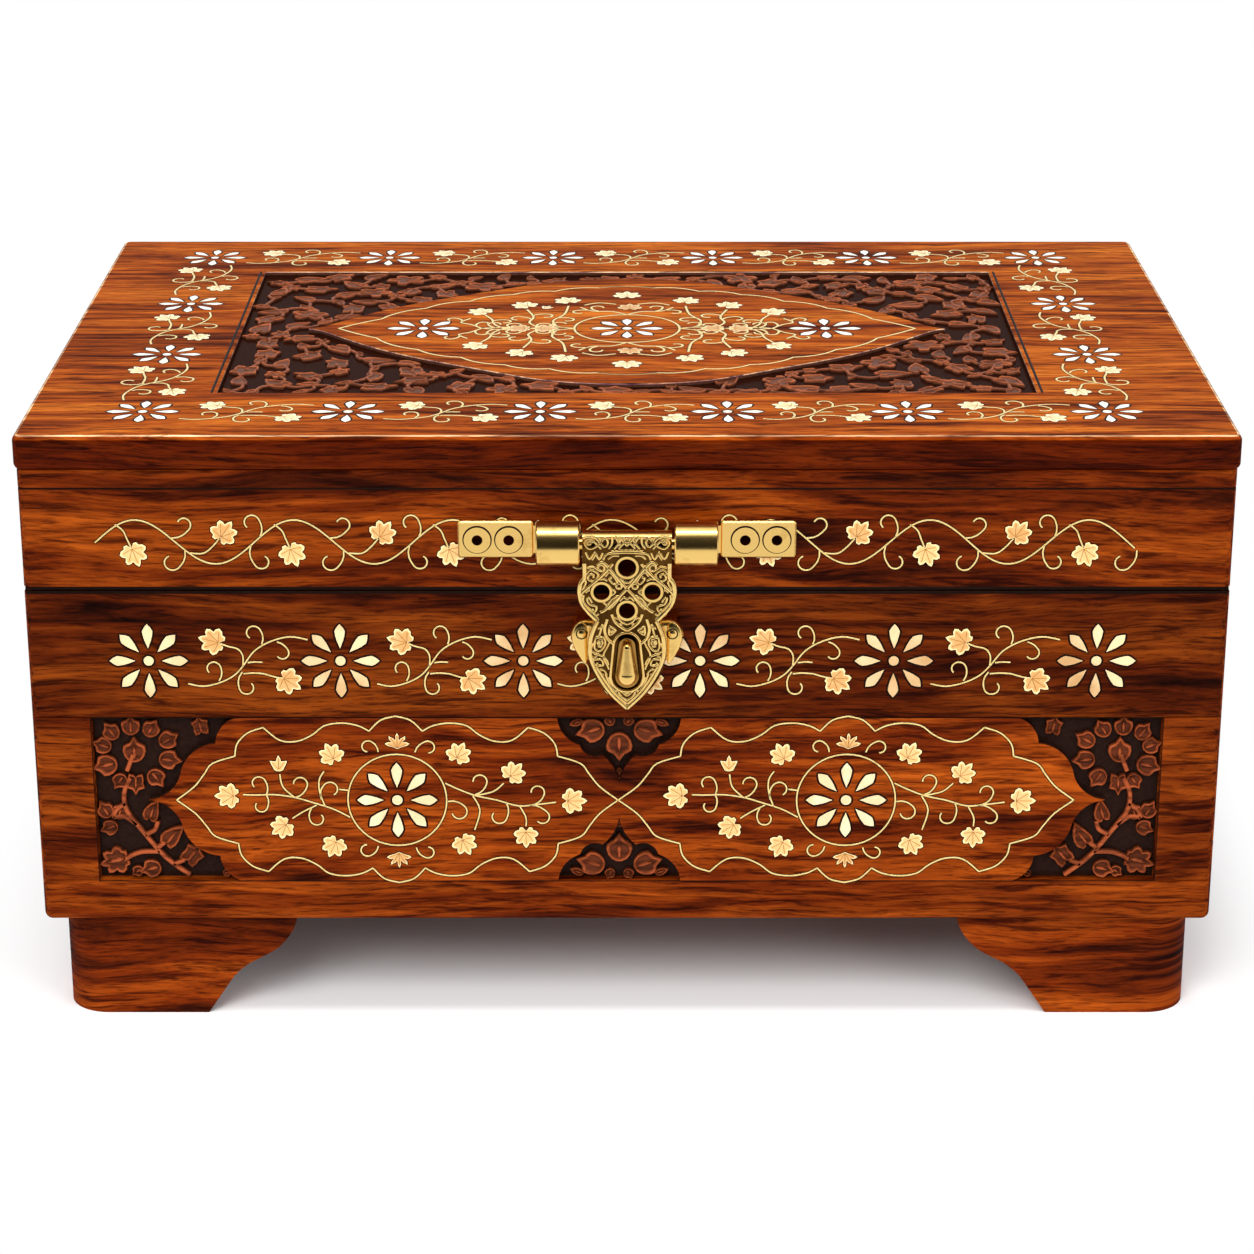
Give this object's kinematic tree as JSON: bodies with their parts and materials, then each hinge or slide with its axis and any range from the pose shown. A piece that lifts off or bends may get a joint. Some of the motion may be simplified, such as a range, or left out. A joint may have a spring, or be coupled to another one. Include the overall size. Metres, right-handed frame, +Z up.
{
  "type": "decorative trunk",
  "caption": "Rectangular carved and inlaid wooden keepsake box on bracket feet, with a hinged lid and a brass swing hasp.",
  "frame": {"origin": "middle of the whole trunk's footprint, on the surface that its feet stand on; the bill of the catch counts in the footprint, so the wooden box sits 5.85 mm behind the middle", "axes": "+X to the right along the front as seen from the front, +Y from the front to the back, +Z up"},
  "size_m": [0.3048, 0.2149, 0.1604],
  "materials": {
    "rosewood": "glossy lacquer over dark streaked red-brown wood",
    "bone_inlay": "polished bone, flush with the wood",
    "aged_brass": "polished high spots over dark patina",
    "steel_pin": "plain drawn wire"
  },
  "bodies": {
    "case": {"case_front_upper_rail": "rosewood", "case_front_bottom_rail": "rosewood", "case_front_left_stile": "rosewood", "case_front_right_stile": "rosewood", "case_front_carved_panel": "rosewood", "case_left_wall": "rosewood", "case_right_wall": "rosewood", "case_back_wall": "rosewood", "case_bottom_board": "rosewood", "front_left_foot": "rosewood", "front_right_foot": "rosewood", "rear_left_foot": "rosewood", "rear_right_foot": "rosewood", "upper_rail_bone_flowers": "bone_inlay", "front_panel_bone_flowers": "bone_inlay", "catch_plate": "aged_brass", "catch_nails": "aged_brass", "left_hinge_case_leaf": "aged_brass", "right_hinge_case_leaf": "aged_brass", "hinge_case_screws": "aged_brass", "left_hinge_pin": "steel_pin", "right_hinge_pin": "steel_pin"},
    "lid": {"lid_top_board": "rosewood", "lid_front_strip": "rosewood", "lid_back_strip": "rosewood", "lid_left_strip": "rosewood", "lid_right_strip": "rosewood", "lid_front_rail": "rosewood", "lid_back_rail": "rosewood", "lid_left_rail": "rosewood", "lid_right_rail": "rosewood", "lid_border_bone_flowers": "bone_inlay", "lid_centre_bone_flowers": "bone_inlay", "hasp_left_wing_plate": "aged_brass", "hasp_right_wing_plate": "aged_brass", "hasp_wing_rivets": "aged_brass", "left_hinge_lid_leaf": "aged_brass", "right_hinge_lid_leaf": "aged_brass", "hinge_lid_screws": "aged_brass", "hasp_pin": "steel_pin"},
    "hasp": {"hasp": "aged_brass"}
  },
  "joints": [
    {"name": "lid_hinge", "type": "hinge", "parent": "case", "child": "lid", "pos_m": [0, 0.10385, 0.1198], "axis": [-1, 0, 0], "range_deg": [0, 105]},
    {"name": "hasp_swing", "type": "hinge", "parent": "lid", "child": "hasp", "pos_m": [0, -0.09975, 0.1337], "axis": [-1, 0, 0], "range_deg": [0, 165]}
  ]
}
